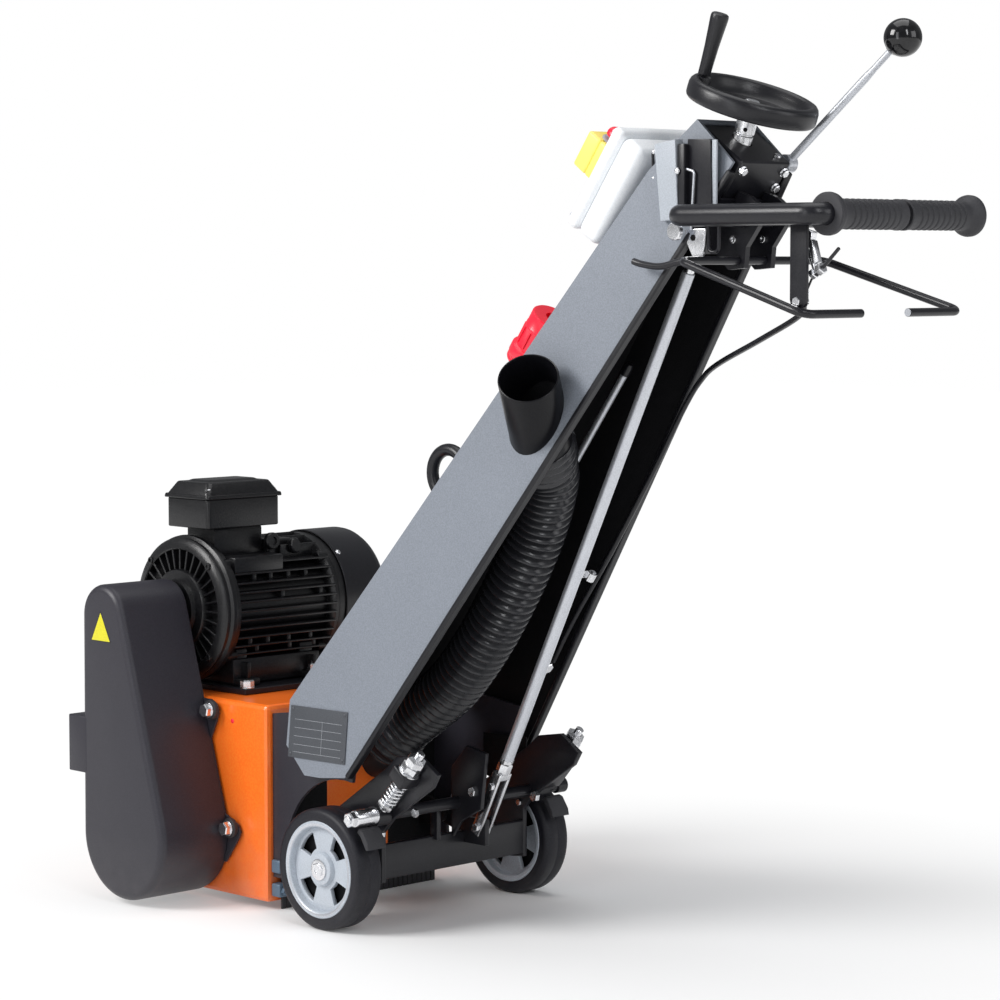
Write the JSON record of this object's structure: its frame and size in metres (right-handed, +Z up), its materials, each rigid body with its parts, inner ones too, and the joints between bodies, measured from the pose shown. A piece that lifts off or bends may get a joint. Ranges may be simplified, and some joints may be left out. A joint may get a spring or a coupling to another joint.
{
  "type": "walk-behind concrete planer",
  "caption": "Walk-behind concrete surface planer with belt-driven cutter drum, electric motor, raked steering column, vacuum port and depth handwheel.",
  "frame": {"origin": "bottom centre of the bounding box, on the floor the machine stands on", "axes": "+Z up, +Y the way the machine drives, +X to the operator's right"},
  "size_m": [0.476, 1.2626, 1.1652],
  "materials": {
    "orange_paint": "gloss orange powder coat",
    "black_paint": "satin black powder coat",
    "charcoal_paint": "dark grey fine-texture coat",
    "grey_paint": "mid grey fine-texture coat",
    "motor_black": "black enamelled cast housing",
    "black_rubber": "matt moulded rubber",
    "tyre_rubber": "solid rubber tread",
    "rim_grey": "cast grey wheel centre",
    "black_plastic": "matt moulded plastic",
    "ball_plastic": "polished phenolic ball",
    "white_plastic": "light grey enclosure",
    "yellow_plastic": "yellow switch housing",
    "red_plastic": "red moulded plastic",
    "zinc_steel": "bright zinc plate",
    "tool_steel": "worn tool steel",
    "nameplate_metal": "anodised rating plate without text"
  },
  "bodies": {
    "frame": {"chassis_frame": "orange_paint", "arch_plate_left": "black_paint", "arch_plate_right": "black_paint", "skirt_front": "black_rubber", "skirt_rear": "black_rubber", "dust_port": "black_paint", "bearing_housing": "black_paint", "v_belts": "black_rubber", "belt_guard": "charcoal_paint", "guard_backplate": "black_paint", "motor_base_plate": "black_paint", "motor_housing": "motor_black", "motor_end_shield": "motor_black", "fan_cover": "black_paint", "junction_box": "motor_black", "junction_box_lid": "motor_black", "column": "grey_paint", "edge_trim_left": "black_rubber", "edge_trim_right": "black_rubber", "port_tube": "black_paint", "suction_hose": "black_rubber", "head_box": "black_paint", "control_box": "white_plastic", "estop_box": "yellow_plastic", "inlet_body": "red_plastic", "lifting_eye": "black_paint", "nameplate": "nameplate_metal", "handlebar": "black_paint", "grip_left": "black_rubber", "grip_right": "black_rubber", "handle_mount": "black_paint", "cable_bracket": "black_paint", "bowden_cable": "black_rubber"},
    "axle": {"axle_frame": "black_paint"},
    "wheel_left": {"tyre_left": "tyre_rubber", "rim_left": "rim_grey"},
    "wheel_right": {"tyre_right": "tyre_rubber", "rim_right": "rim_grey"},
    "lift_rod": {"lift_rod": "zinc_steel", "rod_fork": "zinc_steel"},
    "lift_lever": {"lift_lever": "zinc_steel", "lever_ball": "ball_plastic"},
    "handwheel": {"handwheel": "black_plastic", "wheel_spindle": "zinc_steel"},
    "crank_grip": {"crank_grip": "black_plastic"},
    "hand_lever": {"hand_lever": "black_paint"},
    "estop_button": {"estop_button": "red_plastic"},
    "main_switch": {"main_switch_knob": "black_plastic"},
    "inlet_flap": {"inlet_flap": "red_plastic"},
    "motor_rotor": {"motor_shaft": "tool_steel", "motor_pulley": "black_paint", "motor_fan": "black_plastic"},
    "drum": {"drum_shaft": "tool_steel", "drum_body": "tool_steel", "drum_pulley": "black_paint"},
    "cutters_1": {"cutter_stack_1": "tool_steel"},
    "cutters_2": {"cutter_stack_2": "tool_steel"},
    "cutters_3": {"cutter_stack_3": "tool_steel"},
    "cutters_4": {"cutter_stack_4": "tool_steel"}
  },
  "joints": [
    {"name": "axle_swing", "type": "hinge", "parent": "frame", "child": "axle", "pos_m": [0.042, 0.28425, 0.105], "axis": [-1, 0, 0], "range_deg": [0, 9]},
    {"name": "wheel_left_spin", "type": "hinge", "parent": "axle", "child": "wheel_left", "pos_m": [-0.1305, 0.18425, 0.08], "axis": [1, 0, 0], "continuous": true},
    {"name": "wheel_right_spin", "type": "hinge", "parent": "axle", "child": "wheel_right", "pos_m": [0.2145, 0.18425, 0.08], "axis": [1, 0, 0], "continuous": true},
    {"name": "lift_rod_travel", "type": "slide", "parent": "frame", "child": "lift_rod", "axis": [0, 0.1084, 0.9941], "range_m": [0, 0.0325]},
    {"name": "lift_lever_swing", "type": "hinge", "parent": "frame", "child": "lift_lever", "pos_m": [0.105, -0.38575, 0.9865], "axis": [1, 0, 0], "range_deg": [0, 36.5]},
    {"name": "handwheel_spin", "type": "hinge", "parent": "frame", "child": "handwheel", "pos_m": [0.042, -0.38675, 1.065], "axis": [0, -0.342, 0.9397], "continuous": true},
    {"name": "crank_grip_spin", "type": "hinge", "parent": "handwheel", "child": "crank_grip", "pos_m": [0.008, -0.3346, 1.08398], "axis": [0, -0.342, 0.9397], "continuous": true},
    {"name": "hand_lever_squeeze", "type": "hinge", "parent": "frame", "child": "hand_lever", "pos_m": [0.042, -0.38675, 0.87], "axis": [-1, 0, 0], "range_deg": [0, 18], "stiffness_Nm_per_rad": 1.5, "springref_deg": -34.38},
    {"name": "estop_press", "type": "slide", "parent": "frame", "child": "estop_button", "axis": [0, 0.581, -0.8139], "range_m": [0, 0.004], "stiffness_N_per_m": 400, "springref_m": -0.004},
    {"name": "main_switch_turn", "type": "hinge", "parent": "frame", "child": "main_switch", "pos_m": [0.072, -0.18382, 0.97344], "axis": [0, 0.8139, 0.581], "range_deg": [0, 90]},
    {"name": "inlet_flap_open", "type": "hinge", "parent": "frame", "child": "inlet_flap", "pos_m": [0.042, 0.01547, 0.75879], "axis": [1, 0, 0], "range_deg": [0, 110], "stiffness_Nm_per_rad": 0.03, "springref_deg": -28.65},
    {"name": "motor_spin", "type": "hinge", "parent": "frame", "child": "motor_rotor", "pos_m": [0.042, 0.52925, 0.39], "axis": [1, 0, 0], "continuous": true},
    {"name": "drum_spin", "type": "hinge", "parent": "frame", "child": "drum", "pos_m": [0.042, 0.48725, 0.1], "axis": [1, 0, 0], "continuous": true},
    {"name": "cutters_1_spin", "type": "hinge", "parent": "drum", "child": "cutters_1", "pos_m": [0.042, 0.52402, 0.13677], "axis": [1, 0, 0], "continuous": true},
    {"name": "cutters_2_spin", "type": "hinge", "parent": "drum", "child": "cutters_2", "pos_m": [0.042, 0.45048, 0.13677], "axis": [1, 0, 0], "continuous": true},
    {"name": "cutters_3_spin", "type": "hinge", "parent": "drum", "child": "cutters_3", "pos_m": [0.042, 0.45048, 0.06323], "axis": [1, 0, 0], "continuous": true},
    {"name": "cutters_4_spin", "type": "hinge", "parent": "drum", "child": "cutters_4", "pos_m": [0.042, 0.52402, 0.06323], "axis": [1, 0, 0], "continuous": true}
  ],
  "couplings": [
    {"joint": "motor_spin", "follows": "drum_spin", "ratio": 1.6471},
    {"joint": "lift_rod_travel", "follows": "axle_swing", "m_per_rad": 0.2045},
    {"joint": "lift_lever_swing", "follows": "axle_swing", "ratio": 4}
  ]
}
